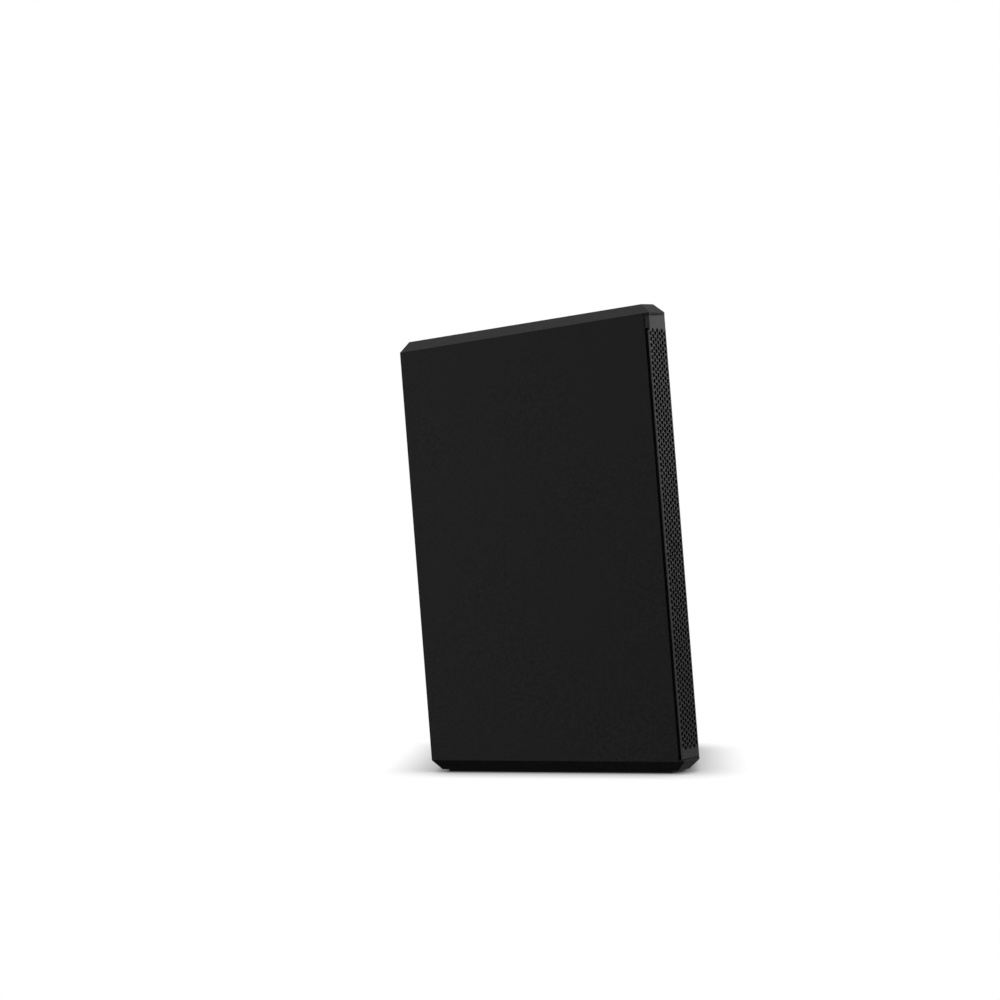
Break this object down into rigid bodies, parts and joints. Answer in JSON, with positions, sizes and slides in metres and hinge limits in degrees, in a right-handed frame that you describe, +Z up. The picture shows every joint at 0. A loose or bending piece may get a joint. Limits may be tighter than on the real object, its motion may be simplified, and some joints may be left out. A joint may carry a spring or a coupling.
{
  "type": "soundbar speaker cabinet",
  "caption": "Compact powered loudspeaker with a leaning tapered cabinet, a folded perforated front grille, and an electronics panel recessed in its back.",
  "frame": {"origin": "on the floor under the middle of the cabinet's bounding box", "axes": "+Z up; the grille faces -Y and leans back, the electronics panel faces +Y; +X is to the right of someone who looks at the grille"},
  "size_m": [0.26, 0.2518, 0.3954],
  "materials": {
    "cabinet_paint": "fine-textured matt black paint on board",
    "baffle_board": "raw plywood",
    "grille_steel": "matt black powder coat",
    "acoustic_foam": "open-cell black foam",
    "black_steel": "satin black powder coat",
    "screw_steel": "black oxide",
    "ferrite": "ground ferrite",
    "rubber": "matt rubber",
    "cone_paper": "pressed black pulp",
    "coil_metal": "thin formed metal",
    "spider_cloth": "resin-dipped woven cloth",
    "zinc_steel": "zinc plated",
    "black_plastic": "fine moulded grain",
    "rocker_plastic": "smooth moulded",
    "wadding": "loose polyester fibre",
    "circuit_board": "solder mask",
    "capacitor_sleeve": "shrink sleeve",
    "transformer_wrap": "varnished tape wrap",
    "heat_sink_metal": "black anodised",
    "status_lens": "clear tinted",
    "lead_sleeve": "cable sleeve"
  },
  "bodies": {
    "cabinet": {"top_panel": "cabinet_paint", "bottom_panel": "cabinet_paint", "skid_left": "rubber", "skid_right": "rubber", "side_panel_left": "cabinet_paint", "side_panel_right": "cabinet_paint", "back_panel": "cabinet_paint", "front_baffle": "baffle_board", "grille": "grille_steel", "grille_foam": "acoustic_foam", "grille_magnet_top": "ferrite", "grille_bracket_top": "black_steel", "grille_magnet_bottom": "ferrite", "grille_bracket_bottom": "black_steel", "woofer_basket": "black_steel", "woofer_gasket": "acoustic_foam", "woofer_screw_1": "screw_steel", "woofer_screw_2": "screw_steel", "woofer_screw_3": "screw_steel", "woofer_screw_4": "screw_steel", "woofer_surround": "rubber", "spider": "spider_cloth", "woofer_top_plate": "zinc_steel", "woofer_magnet": "ferrite", "woofer_yoke": "zinc_steel", "horn": "black_plastic", "driver_body": "black_steel", "driver_diaphragm": "coil_metal", "driver_rear_cover": "black_plastic", "port_tube_left": "black_plastic", "wadding_left": "wadding", "port_tube_right": "black_plastic", "wadding_right": "wadding", "amp_panel": "black_steel", "panel_rail_left": "baffle_board", "panel_rail_right": "baffle_board", "panel_screw_1": "screw_steel", "panel_screw_2": "screw_steel", "panel_screw_3": "screw_steel", "panel_screw_4": "screw_steel", "mains_inlet": "black_plastic", "switch_bezel": "black_plastic", "input_socket": "black_plastic", "link_socket": "black_plastic", "level_pot": "zinc_steel", "button_switch": "black_plastic", "status_lens": "status_lens", "heat_sink": "heat_sink_metal", "amp_board": "circuit_board", "smoothing_capacitor": "capacitor_sleeve", "mains_transformer": "transformer_wrap", "woofer_lead": "lead_sleeve", "tweeter_lead": "lead_sleeve"},
    "cone_assembly": {"woofer_cone": "cone_paper", "dust_cap": "cone_paper", "voice_coil": "coil_metal"},
    "power_rocker": {"power_rocker": "rocker_plastic"},
    "level_knob": {"level_knob": "black_plastic", "knob_shaft": "zinc_steel"},
    "source_button": {"source_button": "black_plastic"}
  },
  "joints": [
    {"name": "cone_travel", "type": "slide", "parent": "cabinet", "child": "cone_assembly", "axis": [0, -0.9969, 0.0785], "range_m": [-0.005, 0.005], "stiffness_N_per_m": 1800},
    {"name": "rocker_tilt", "type": "hinge", "parent": "cabinet", "child": "power_rocker", "pos_m": [-0.016, 0.08978, 0.08692], "axis": [1, 0, 0], "range_deg": [0, 20]},
    {"name": "knob_turn", "type": "hinge", "parent": "cabinet", "child": "level_knob", "pos_m": [0.04, 0.09579, 0.1366], "axis": [0, 0.9969, -0.0785], "range_deg": [-150, 150]},
    {"name": "button_press", "type": "slide", "parent": "cabinet", "child": "source_button", "axis": [0, -0.9969, 0.0785], "range_m": [0, 0.0015], "stiffness_N_per_m": 400, "springref_m": -0.0004}
  ]
}
